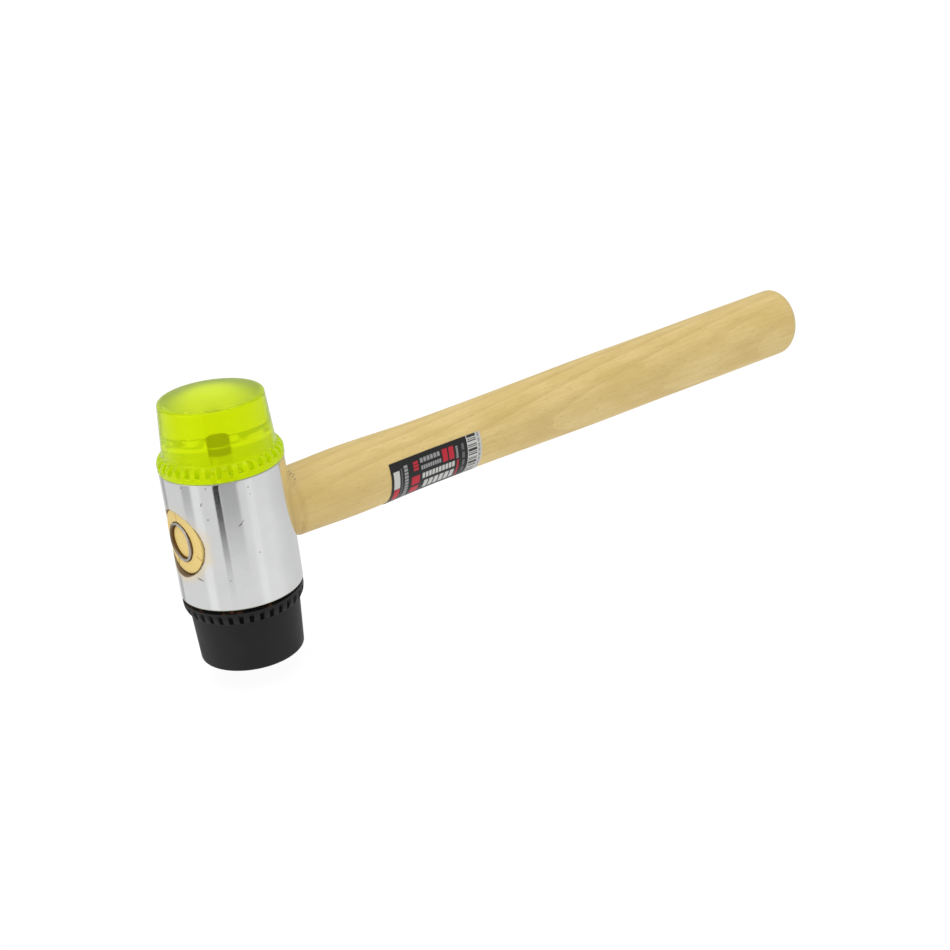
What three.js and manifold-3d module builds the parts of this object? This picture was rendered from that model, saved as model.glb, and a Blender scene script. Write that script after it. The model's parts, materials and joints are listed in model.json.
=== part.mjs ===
// Two-faced soft hammer: a chromed steel head on a wooden handle, with a clear plastic face screwed
// into its upper end and a black rubber face screwed into its lower end.
// Millimetres, +Z up along the head, handle along +X, origin at the centre of the rubber striking face.

import * as THREE from "three";
import { mergeVertices } from "three/addons/utils/BufferGeometryUtils.js";
import Module from "manifold-3d";

// Head body
const headDiameter = 50;
const headLength = 54.5; // between its two flat ends
const headChamfer = 0.6; // broken edge round each end
const eyeDiameter = 27.8; // round cross hole for the handle

// Screw studs, one moulded into each face
const studDiameter = 6;
const studEngagement = 10; // length screwed into the head
const studEmbedment = 13; // length held in the face
const studChamfer = 0.8;
const grooveHeight = 8.2; // middle of the groove that holds the stud in its face
const grooveWidth = 0.7;
const grooveDepth = 0.5;
const studClearance = 0.1; // round the stud, in the face and in the head
const holeRunout = 1.2; // tapped hole below the stud's tip

// Both faces
const seatGap = 0.05; // between a face and the end of the head
const rimHeight = 2.4; // plain rim below the teeth
const rimChamfer = 0.3;
const notchCount = 36;
const notchWidth = 2;

// Clear plastic face
const clearOverhang = 0.3; // its flange beyond the head's radius
const clearShoulderHeight = 5.8; // top of the rounded, toothed shoulder
const clearShoulderStep = 2.7; // from flange to wall
const clearNotchFloor = 0.4; // floor of a notch outside the wall that it is cut beside
const clearWallHeight = 26.3;
const clearWallTaper = 1.4; // radius that the wall loses on the way up
const clearEdgeRadius = 1.2;
const clearDomeRise = 2.8;

// Black rubber face
const rubberInset = 0.2; // its flange within the head's radius
const rubberShoulderHeight = 7;
const rubberShoulderStep = 2.3;
const rubberNotchFloor = 1.2;
const rubberWallHeight = 28.3;
const rubberWallTaper = 1.1;
const rubberEdgeRadius = 0.7;
const rubberTurnDegrees = 3; // where its first notch lies

// Handle: full heights of its oval section, and distances along it from the head's surface
const handleLength = 349;
const tenonClearance = 0.4; // round the tenon in the eye
const tenonSetback = 1.6; // tenon's end inside the head's round side
const tenonChamfer = 1;
const tenonCrown = 1.9; // how much lower its rounded end lies at the sides than along its middle
const shoulderGap = 0.3; // from the head to the foot of the shoulder
const shoulderStep = 1; // from tenon to shoulder, all round
const shoulderLength = 2.4;
const swellHeight = 30.5;
const swellDistance = 33;
const waistHeight = 29.4;
const waistDistance = 73;
const gripHeight = 32.1;
const gripWidth = 27.6; // sets how oval the whole grip is
const gripDistance = 185;
const buttHeight = 33.2;
const buttRounding = 9; // length of the domed end

// Ring wedge, driven into the tenon's end
const wedgeDiameter = 16.3;
const wedgeWall = 1;
const wedgeTaper = 0.6; // radius that its outside loses on the way in
const wedgeLength = 16;
const wedgeProud = 0.6; // rim beyond the tenon's end
const wedgeClearance = 0.15;
const coreRecess = 0.8; // wood within the ring below the tenon's end

// Label on the side of the handle
const labelLength = 49;
const labelWidth = 30; // measured round the handle
const labelThickness = 0.2;
const labelClearance = 0.15;
const labelDistance = 69; // its middle, from the head's surface
const labelAngleDegrees = -36; // its middle, up from the horizontal

// Facets
const faceSides = 72;
const boreSides = 48;
const studSides = 32;
const handleSides = 40;
const handleRings = 22;
const roundSteps = 4;
const labelColumns = 10;
const labelRows = 12;

// Places worked out from the sizes above
const headRadius = headDiameter / 2;
const studRadius = studDiameter / 2;
const rubberFaceHeight = rubberWallHeight + rubberEdgeRadius;
const headBottom = rubberFaceHeight + seatGap;
const headCentre = headBottom + headLength / 2;
const headTop = headBottom + headLength;
const tenonRadius = eyeDiameter / 2 - tenonClearance;
const tenonEnd = tenonSetback - headRadius;
const handleEnd = tenonEnd + handleLength;
const shoulderFoot = headRadius + shoulderGap;
const shoulderTop = shoulderFoot + shoulderLength;
const past = 1; // how far a cutting solid runs past the face that it opens

const wasm = await Module();
wasm.setup();

// A closed geometry as a solid that can be joined and cut.
function solidOf(geometry) {
  const bare = geometry.clone();
  bare.deleteAttribute("normal");
  bare.deleteAttribute("uv");
  const merged = mergeVertices(bare, 1e-3);
  const corners = merged.index.array;
  const triangles = [];
  for (let i = 0; i < corners.length; i += 3) {
    const [a, b, c] = [corners[i], corners[i + 1], corners[i + 2]];
    if (a !== b && b !== c && c !== a) {
      triangles.push(a, b, c);
    }
  }
  return new wasm.Manifold(
    new wasm.Mesh({
      numProp: 3,
      vertProperties: merged.attributes.position.array,
      triVerts: new Uint32Array(triangles),
    }),
  );
}

function geometryOf(solid) {
  const mesh = solid.getMesh();
  const geometry = new THREE.BufferGeometry();
  geometry.setAttribute("position", new THREE.BufferAttribute(mesh.vertProperties, 3));
  geometry.setIndex(new THREE.BufferAttribute(mesh.triVerts, 1));
  return geometry;
}

function cut(geometry, tools) {
  let solid = solidOf(geometry);
  for (const tool of tools) {
    solid = solid.subtract(solidOf(tool));
  }
  return geometryOf(solid);
}

// A profile of [radius, height] pairs, from the lower end of the axis to the upper, turned round +Z.
function turned(profile, sides) {
  const points = profile.map(([radius, height]) => new THREE.Vector2(radius, height));
  return new THREE.LatheGeometry(points, sides).rotateX(Math.PI / 2);
}

function rod(radius, from, to, sides) {
  return turned(
    [
      [0, from],
      [radius, from],
      [radius, to],
      [0, to],
    ],
    sides,
  );
}

function part(name, geometry, colour, roughness, metalness) {
  const material = new THREE.MeshStandardMaterial({ color: colour, roughness, metalness });
  const mesh = new THREE.Mesh(geometry, material);
  mesh.name = name;
  return mesh;
}

// Head body, centred on the eye

function headBody() {
  const end = headLength / 2;
  const blank = turned(
    [
      [0, -end],
      [headRadius - headChamfer, -end],
      [headRadius, headChamfer - end],
      [headRadius, end - headChamfer],
      [headRadius - headChamfer, end],
      [0, end],
    ],
    faceSides,
  );
  const eyeReach = headRadius + past;
  const eye = rod(eyeDiameter / 2, -eyeReach, eyeReach, boreSides).rotateY(Math.PI / 2);
  const holeRadius = studRadius + studClearance;
  const holeBottom = end - studEngagement - holeRunout;
  const upperHole = rod(holeRadius, holeBottom, end + past, studSides);
  const lowerHole = rod(holeRadius, -end - past, -holeBottom, studSides);
  return cut(blank, [eye, upperHole, lowerHole]);
}

// Striking face, seated at height 0 and reaching up to its striking end

function strikingFace(face) {
  const neckRadius = face.flangeRadius - face.shoulderStep;
  const endRadius = neckRadius - face.wallTaper;
  const crownRadius = endRadius - face.edgeRadius;
  const profile = [
    [0, 0],
    [face.flangeRadius - rimChamfer, 0],
    [face.flangeRadius, rimChamfer],
  ];
  for (let i = 0; i <= roundSteps; i++) {
    const turn = (i / roundSteps) * (Math.PI / 2);
    profile.push([
      neckRadius + face.shoulderStep * Math.cos(turn),
      rimHeight + (face.shoulderHeight - rimHeight) * Math.sin(turn),
    ]);
  }
  const edgeTurn = Math.PI / 2 - Math.atan2(2 * face.domeRise, crownRadius);
  for (let i = 0; i <= roundSteps; i++) {
    const turn = (i / roundSteps) * edgeTurn;
    profile.push([
      crownRadius + face.edgeRadius * Math.cos(turn),
      face.wallHeight + face.edgeRadius * Math.sin(turn),
    ]);
  }
  const [domeRadius, domeFoot] = profile.at(-1);
  const domeSteps = face.domeRise > 0 ? roundSteps : 1;
  for (let i = 1; i <= domeSteps; i++) {
    const inward = i / domeSteps;
    const rise = face.domeRise * (1 - (1 - inward) ** 2);
    profile.push([domeRadius * (1 - inward), domeFoot + rise]);
  }
  const studHole = rod(studRadius + studClearance, -past, studEmbedment + studClearance, studSides);
  return cut(turned(profile, faceSides), [studHole, ...notches(face, neckRadius)]);
}

// The notches run up from the rim and leave teeth between them on the rounded shoulder.
function notches(face, neckRadius) {
  const inner = neckRadius + face.notchFloor;
  const outer = face.flangeRadius + past;
  const top = face.shoulderHeight + past;
  const tools = [];
  for (let i = 0; i < notchCount; i++) {
    const tool = new THREE.BoxGeometry(outer - inner, notchWidth, top - rimHeight);
    tool.translate((outer + inner) / 2, 0, (top + rimHeight) / 2);
    tools.push(tool.rotateZ((i / notchCount) * 2 * Math.PI));
  }
  return tools;
}

const clearFace = {
  flangeRadius: headRadius + clearOverhang,
  shoulderHeight: clearShoulderHeight,
  shoulderStep: clearShoulderStep,
  notchFloor: clearNotchFloor,
  wallHeight: clearWallHeight,
  wallTaper: clearWallTaper,
  edgeRadius: clearEdgeRadius,
  domeRise: clearDomeRise,
};

const rubberFace = {
  flangeRadius: headRadius - rubberInset,
  shoulderHeight: rubberShoulderHeight,
  shoulderStep: rubberShoulderStep,
  notchFloor: rubberNotchFloor,
  wallHeight: rubberWallHeight,
  wallTaper: rubberWallTaper,
  edgeRadius: rubberEdgeRadius,
  domeRise: 0,
};

// Stud, placed like the face that holds it

function stud() {
  const grooveRadius = studRadius - grooveDepth;
  const grooveFoot = grooveHeight - grooveWidth / 2;
  const grooveTop = grooveHeight + grooveWidth / 2;
  return turned(
    [
      [0, -studEngagement],
      [studRadius - studChamfer, -studEngagement],
      [studRadius, studChamfer - studEngagement],
      [studRadius, grooveFoot],
      [grooveRadius, grooveFoot],
      [grooveRadius, grooveTop],
      [studRadius, grooveTop],
      [studRadius, studEmbedment - studChamfer],
      [studRadius - studChamfer, studEmbedment],
      [0, studEmbedment],
    ],
    studSides,
  );
}

// Handle, along its own +Z from the middle of the eye

const stations = [
  { at: shoulderTop, half: tenonRadius + shoulderStep },
  { at: headRadius + swellDistance, half: swellHeight / 2 },
  { at: headRadius + waistDistance, half: waistHeight / 2 },
  { at: headRadius + gripDistance, half: gripHeight / 2 },
  { at: handleEnd - buttRounding, half: buttHeight / 2 },
];

// Half the section's height at a place along the handle, easing from each station to the next.
function halfHeight(along) {
  const last = stations.length - 1;
  const found = stations.findIndex((station) => along <= station.at);
  const next = found < 0 ? last : Math.max(found, 1);
  const [from, to] = [stations[next - 1], stations[next]];
  return THREE.MathUtils.lerp(from.half, to.half, THREE.MathUtils.smoothstep(along, from.at, to.at));
}

// Width of the section for each unit of height: round at the shoulder, oval from the waist on.
function flatness(along) {
  const eased = THREE.MathUtils.smoothstep(along, shoulderTop, headRadius + waistDistance);
  return THREE.MathUtils.lerp(1, gripWidth / gripHeight, eased);
}

function handleBlank() {
  const profile = [
    [0, tenonEnd],
    [tenonRadius - tenonChamfer, tenonEnd],
    [tenonRadius, tenonEnd + tenonChamfer],
    [tenonRadius, shoulderFoot],
  ];
  const buttStart = handleEnd - buttRounding;
  for (let i = 0; i <= handleRings; i++) {
    const along = THREE.MathUtils.lerp(shoulderTop, buttStart, i / handleRings);
    profile.push([halfHeight(along), along]);
  }
  for (let i = 1; i <= roundSteps; i++) {
    const turn = (i / roundSteps) * (Math.PI / 2);
    const half = i < roundSteps ? (buttHeight / 2) * Math.cos(turn) : 0;
    profile.push([half, buttStart + buttRounding * Math.sin(turn)]);
  }
  const blank = turned(profile, handleSides);
  const points = blank.getAttribute("position");
  for (let i = 0; i < points.count; i++) {
    points.setY(i, points.getY(i) * flatness(points.getZ(i)));
  }
  return blank;
}

// What is trimmed off the tenon to round its end about an upright axis, much as the head is round.
function tenonTrim() {
  const reach = tenonRadius + past;
  const rounding = (tenonRadius ** 2 + tenonCrown ** 2) / (2 * tenonCrown);
  const kept = rod(rounding, -reach - past, reach + past, faceSides).rotateY(Math.PI / 2);
  kept.translate(0, 0, tenonEnd + rounding);
  const block = new THREE.BoxGeometry(2 * reach, 2 * reach, past + tenonCrown);
  block.translate(0, 0, tenonEnd + (tenonCrown - past) / 2);
  return cut(block, [kept]);
}

const wedgeRim = tenonEnd - wedgeProud;
const wedgeTip = wedgeRim + wedgeLength;
const wedgeOuter = wedgeDiameter / 2;
const wedgeInner = wedgeOuter - wedgeWall;
const wedgeTipOuter = wedgeOuter - wedgeTaper;

// The ring's slot and the sunk wood within it, as one cutting solid.
function wedgeSlot() {
  const outside = wedgeRim - past;
  const core = wedgeInner - wedgeClearance;
  return turned(
    [
      [0, outside],
      [wedgeOuter + wedgeClearance, outside],
      [wedgeOuter + wedgeClearance, wedgeRim],
      [wedgeTipOuter + wedgeClearance, wedgeTip + wedgeClearance],
      [core, wedgeTip + wedgeClearance],
      [core, tenonEnd + coreRecess],
      [0, tenonEnd + coreRecess],
    ],
    boreSides,
  );
}

function ringWedge() {
  return turned(
    [
      [wedgeInner, wedgeRim],
      [wedgeOuter, wedgeRim],
      [wedgeTipOuter, wedgeTip],
      [wedgeInner, wedgeTip],
      [wedgeInner, wedgeRim],
    ],
    boreSides,
  );
}

// A flat sticker laid round the side of the handle, along the same section.
function handleLabel() {
  const flat = new THREE.BoxGeometry(
    labelLength,
    labelWidth,
    labelThickness,
    labelColumns,
    labelRows,
    1,
  );
  const middle = headRadius + labelDistance;
  const bendRadius = halfHeight(middle);
  const points = flat.getAttribute("position");
  for (let i = 0; i < points.count; i++) {
    const along = middle + points.getX(i);
    const angle = THREE.MathUtils.degToRad(labelAngleDegrees) + points.getY(i) / bendRadius;
    const lift = labelClearance + labelThickness / 2 + points.getZ(i);
    const high = halfHeight(along) + lift;
    const wide = halfHeight(along) * flatness(along) + lift;
    points.setXYZ(i, -high * Math.sin(angle), -wide * Math.cos(angle), along);
  }
  return flat;
}

// Assembly

const hammer = new THREE.Group();

const head = new THREE.Group();
head.position.z = headCentre;
head.add(part("head_body", headBody(), 0xd6d8da, 0.12, 1));
hammer.add(head);

const clearEnd = new THREE.Group();
clearEnd.position.z = headTop + seatGap;
clearEnd.add(part("clear_face", strikingFace(clearFace), 0xc8e40a, 0.12, 0));
clearEnd.add(part("clear_face_stud", stud(), 0x8c8d8f, 0.35, 1));
hammer.add(clearEnd);

const rubberEnd = new THREE.Group();
rubberEnd.position.z = rubberFaceHeight;
rubberEnd.rotation.set(Math.PI, 0, THREE.MathUtils.degToRad(rubberTurnDegrees));
rubberEnd.add(part("rubber_face", strikingFace(rubberFace), 0x29292a, 0.6, 0));
rubberEnd.add(part("rubber_face_stud", stud(), 0x8c8d8f, 0.35, 1));
hammer.add(rubberEnd);

const shaft = new THREE.Group();
shaft.position.z = headCentre;
shaft.rotation.y = Math.PI / 2;
shaft.add(part("handle", cut(handleBlank(), [tenonTrim(), wedgeSlot()]), 0xdcc387, 0.5, 0));
shaft.add(part("ring_wedge", ringWedge(), 0x8f8c86, 0.4, 1));
shaft.add(part("handle_label", handleLabel(), 0x1c1c1e, 0.35, 0));
hammer.add(shaft);

export default hammer;
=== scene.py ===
"""Looks of a two-faced soft hammer: fine meshes, finishes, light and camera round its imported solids."""

import json
import math

import bmesh
import bpy
from mathutils import Matrix, Vector


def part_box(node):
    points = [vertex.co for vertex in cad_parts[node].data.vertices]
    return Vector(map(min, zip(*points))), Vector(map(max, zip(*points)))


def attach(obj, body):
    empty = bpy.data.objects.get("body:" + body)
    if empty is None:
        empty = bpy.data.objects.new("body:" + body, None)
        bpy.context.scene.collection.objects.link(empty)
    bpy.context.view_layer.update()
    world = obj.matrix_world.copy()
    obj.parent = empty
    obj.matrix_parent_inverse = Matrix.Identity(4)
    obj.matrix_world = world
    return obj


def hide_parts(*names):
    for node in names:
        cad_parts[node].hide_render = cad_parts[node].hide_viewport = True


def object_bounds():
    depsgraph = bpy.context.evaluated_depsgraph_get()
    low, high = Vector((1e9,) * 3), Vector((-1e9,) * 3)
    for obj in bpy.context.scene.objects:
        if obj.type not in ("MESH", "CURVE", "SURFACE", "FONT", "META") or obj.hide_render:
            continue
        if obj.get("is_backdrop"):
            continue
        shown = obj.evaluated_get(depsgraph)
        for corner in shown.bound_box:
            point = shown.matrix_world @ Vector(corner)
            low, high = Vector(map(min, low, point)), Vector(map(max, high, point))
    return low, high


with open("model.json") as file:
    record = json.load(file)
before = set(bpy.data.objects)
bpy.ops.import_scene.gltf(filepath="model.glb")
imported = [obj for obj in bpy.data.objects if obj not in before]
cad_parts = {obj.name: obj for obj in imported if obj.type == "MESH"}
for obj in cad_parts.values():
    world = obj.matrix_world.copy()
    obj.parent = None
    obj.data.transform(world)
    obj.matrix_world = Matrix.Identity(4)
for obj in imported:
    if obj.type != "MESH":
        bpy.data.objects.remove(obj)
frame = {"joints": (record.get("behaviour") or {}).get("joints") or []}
cad_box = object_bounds()

MM = 0.001

# Places read from the frame
head_low, head_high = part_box("head_body")
clear_low, clear_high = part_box("clear_face")
rubber_low, rubber_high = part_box("rubber_face")
stud_low, stud_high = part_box("clear_face_stud")
handle_low, handle_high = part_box("handle")
wedge_low, wedge_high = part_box("ring_wedge")

HEAD_RADIUS = (head_high.x - head_low.x) / 2
HEAD_BOTTOM = head_low.z
HEAD_TOP = head_high.z
HEAD_CENTRE = (HEAD_BOTTOM + HEAD_TOP) / 2
CLEAR_SEAT = clear_low.z
RUBBER_SEAT = rubber_high.z
STUD_ENGAGEMENT = CLEAR_SEAT - stud_low.z
STUD_EMBEDMENT = stud_high.z - CLEAR_SEAT
STUD_RADIUS = (stud_high.x - stud_low.x) / 2
TENON_END = handle_low.x
HANDLE_END = handle_high.x
WEDGE_RIM = wedge_low.x
WEDGE_TIP = wedge_high.x
WEDGE_RADIUS = (wedge_high.z - wedge_low.z) / 2
FACE_TRAVEL = max(joint["range_m"][1] for joint in frame["joints"] if joint["type"] == "slide")

# Sizes of the fine shapes
EYE_RADIUS = 13.9 * MM
EYE_LIP = 0.35 * MM
HEAD_EDGE = 0.6 * MM
THREAD_PITCH = 1.0 * MM
THREAD_DEPTH = 0.5 * MM
TENON_RADIUS = 13.5 * MM
WEDGE_WALL = 1.0 * MM

# Photograph's camera, aimed so that the middle of the head falls on its pixel
IMAGE_SIZE = 950
SENSOR_WIDTH = 36
CAMERA_AZIMUTH = -116.32
CAMERA_ELEVATION = 22.56
CAMERA_ROLL = -9.77
CAMERA_DISTANCE = 666.2 * MM
CAMERA_LENS = 61.91
HEAD_PIXEL = (231.96, 522.94)


def clamp01(value):
    return min(max(value, 0.0), 1.0)


def smoothstep(value, low, high):
    eased = clamp01((value - low) / (high - low))
    return eased * eased * (3 - 2 * eased)


def lerp(start, end, share):
    return start + (end - start) * share


# Meshes


class Shell:
    """A closed surface that is gathered ring by ring."""

    def __init__(self):
        self.points = []
        self.faces = []

    def ring(self, points):
        first = len(self.points)
        self.points.extend(points)
        return range(first, len(self.points))

    def band(self, lower, upper):
        count = len(lower)
        for i in range(count):
            j = (i + 1) % count
            self.faces.append((lower[i], lower[j], upper[j], upper[i]))

    def bands(self, rings):
        for lower, upper in zip(rings, rings[1:]):
            self.band(lower, upper)

    def fan(self, ring, point):
        pole = self.ring([point])[0]
        count = len(ring)
        for i in range(count):
            self.faces.append((ring[i], ring[(i + 1) % count], pole))

    def mesh(self, name):
        mesh = bpy.data.meshes.new(name)
        mesh.from_pydata(self.points, [], self.faces)
        work = bmesh.new()
        work.from_mesh(mesh)
        bmesh.ops.remove_doubles(work, verts=work.verts, dist=1e-7)
        bmesh.ops.recalc_face_normals(work, faces=work.faces)
        work.to_mesh(mesh)
        work.free()
        mesh.shade_smooth()
        return mesh


def tube(name, rings, start=None, end=None):
    """A mesh through rings of points, closed to a point at each end, or joined into a loop without them."""
    shell = Shell()
    joined = [shell.ring(points) for points in rings]
    shell.bands(joined)
    if start:
        shell.fan(joined[0], start)
        shell.fan(joined[-1], end)
    else:
        shell.band(joined[-1], joined[0])
    return shell.mesh(name)


def piece(mesh, material, body, node):
    """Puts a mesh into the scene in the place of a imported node, on that node's body."""
    made = bpy.data.objects.new(mesh.name, mesh)
    bpy.context.scene.collection.objects.link(made)
    made.data.materials.append(material)
    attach(made, body)
    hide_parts(node)
    return made


def even_normals(made):
    """Lets flat faces keep their own normals beside the narrow rounded edges."""
    made.modifiers.new("even_normals", "WEIGHTED_NORMAL")


def even_angles(count):
    return [2 * math.pi * i / count for i in range(count)]


def quarter_turns(count):
    """Angles from 0 to 90 degrees, both ends included."""
    return [math.pi / 2 * i / count for i in range(count + 1)]


# Chromed head

GRID_ALONG = 64  # steps across half of the round side
GRID_UP = 44
GRID_RINGS = 22  # from the eye's lip to the edges of a half
LIP_STEPS = 4
EDGE_STEPS = 5
SIDE_HALF = (HEAD_TOP - HEAD_BOTTOM) / 2 - HEAD_EDGE


def half_outline():
    """Points round the edge of half of the round side, rolled out flat: across and up from its middle."""
    reach = math.pi / 2 * HEAD_RADIUS
    across = [lerp(-reach, reach, i / GRID_ALONG) for i in range(GRID_ALONG + 1)]
    up = [lerp(-SIDE_HALF, SIDE_HALF, i / GRID_UP) for i in range(GRID_UP + 1)]
    outline = [(u, -SIDE_HALF) for u in across[:-1]]
    outline += [(reach, v) for v in up[:-1]]
    outline += [(u, SIDE_HALF) for u in reversed(across[1:])]
    outline += [(-reach, v) for v in reversed(up[1:])]
    return outline


def head_side_rings(shell, side):
    """Rings from inside the eye to the edges of one half of the round side; side is -1 or 1 along X."""
    outline = half_outline()
    turns = [math.atan2(v, u) for u, v in outline]
    rings = []
    for turn in reversed(quarter_turns(LIP_STEPS)):
        radius = EYE_RADIUS + EYE_LIP * (1 - math.sin(turn))
        sunk = EYE_LIP * (1 - math.cos(turn))
        rings.append(shell.ring([on_lip(radius, sunk, a, side) for a in turns]))
    lip_radius = EYE_RADIUS + EYE_LIP
    for k in range(1, GRID_RINGS + 1):
        share = (k / GRID_RINGS) ** 1.3
        points = []
        for (u, v), turn in zip(outline, turns):
            lip_across = HEAD_RADIUS * math.asin(lip_radius * math.cos(turn) / HEAD_RADIUS)
            across = lerp(lip_across, u, share)
            up = lerp(lip_radius * math.sin(turn), v, share)
            angle = across / HEAD_RADIUS
            x = side * HEAD_RADIUS * math.cos(angle)
            points.append((x, HEAD_RADIUS * math.sin(angle), HEAD_CENTRE + up))
        rings.append(shell.ring(points))
    return rings


def on_lip(radius, sunk, turn, side):
    y = radius * math.cos(turn)
    x = side * (math.sqrt(HEAD_RADIUS**2 - y * y) - sunk)
    return (x, y, HEAD_CENTRE + radius * math.sin(turn))


def thread_height(angle, height):
    """How far up the thread's flank a place lies, from 0 at its root to 1 at its crest."""
    phase = (height / THREAD_PITCH - angle / (2 * math.pi)) % 1.0
    return smoothstep(1 - abs(2 * phase - 1), 0.15, 0.85)


def head_end_rings(shell, up):
    """Rings over an end's rounded edge, across it and down its tapped hole; up is 1 or -1."""
    angles = even_angles(2 * GRID_ALONG)
    end = SIDE_HALF + HEAD_EDGE
    hole = STUD_RADIUS + 0.1 * MM
    mouth = hole + 0.9 * MM
    bottom = end - STUD_ENGAGEMENT - 1.2 * MM
    profile = []
    for turn in quarter_turns(EDGE_STEPS):
        outward = HEAD_RADIUS - HEAD_EDGE * (1 - math.cos(turn))
        profile.append((outward, SIDE_HALF + HEAD_EDGE * math.sin(turn)))
    for share in (0.02, 0.4, 0.98, 1):
        profile.append((lerp(HEAD_RADIUS - HEAD_EDGE, mouth, share), end))
    rings = []
    for radius, height in profile:
        rings.append(shell.ring(circle(radius, height * up, angles)))
    steps = 8 * round((end - bottom) / THREAD_PITCH)
    for i in range(steps + 1):
        height = lerp(end, bottom, i / steps)
        flare = max(0.0, height - (end - 0.9 * MM))
        points = []
        for a in angles:
            groove = THREAD_DEPTH * thread_height(a * up, height)
            radius = hole + max(groove, flare)
            points.append((radius * math.cos(a), radius * math.sin(a), HEAD_CENTRE + height * up))
        rings.append(shell.ring(points))
    drill_tip = (0, 0, HEAD_CENTRE + (bottom - 0.4 * hole) * up)
    shell.bands(rings)
    shell.fan(rings[-1], drill_tip)


def circle(radius, height, angles):
    return [(radius * math.cos(a), radius * math.sin(a), HEAD_CENTRE + height) for a in angles]


def head_mesh():
    shell = Shell()
    front = head_side_rings(shell, -1)
    back = head_side_rings(shell, 1)
    shell.bands(front)
    shell.bands(back)
    shell.band(front[0], back[0])
    head_end_rings(shell, 1)
    head_end_rings(shell, -1)
    return shell.mesh("chromed_head")


# Striking faces

NOTCH_COUNT = 36
NOTCH_WIDTH = 2.0 * MM
NOTCH_ROUNDING = 0.12 * MM
RIM_HEIGHT = 2.4 * MM
RIM_EDGE = 0.35 * MM
TOOTH_STEPS = 16
FINE_STEPS = 60


def notch_columns(radius):
    """Angles round a toothed flange, each with its share of notch: 0 on a tooth, 1 in a notch."""
    half = NOTCH_WIDTH / 2
    step = 2 * math.pi / NOTCH_COUNT
    tooth_half = step * radius / 2 - half
    places = [(0, 1), (0.5 * half, 1), (half - 2 * NOTCH_ROUNDING, 1), (half - NOTCH_ROUNDING, 0.92)]
    places += [(half + 0.2 * NOTCH_ROUNDING, 0.08), (half + 1.5 * NOTCH_ROUNDING, 0)]
    places += [(half + 0.5 * tooth_half, 0), (half + tooth_half, 0)]
    before = [(-offset, share) for offset, share in reversed(places[1:-1])]
    columns = []
    for i in range(NOTCH_COUNT):
        for offset, share in before + places:
            columns.append((i * step + offset / radius, share))
    return columns


def thinned(places, count):
    """That many of the places, evenly, both ends included."""
    last = len(places) - 1
    return [places[round(last * i / (count - 1))] for i in range(count)]


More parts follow.
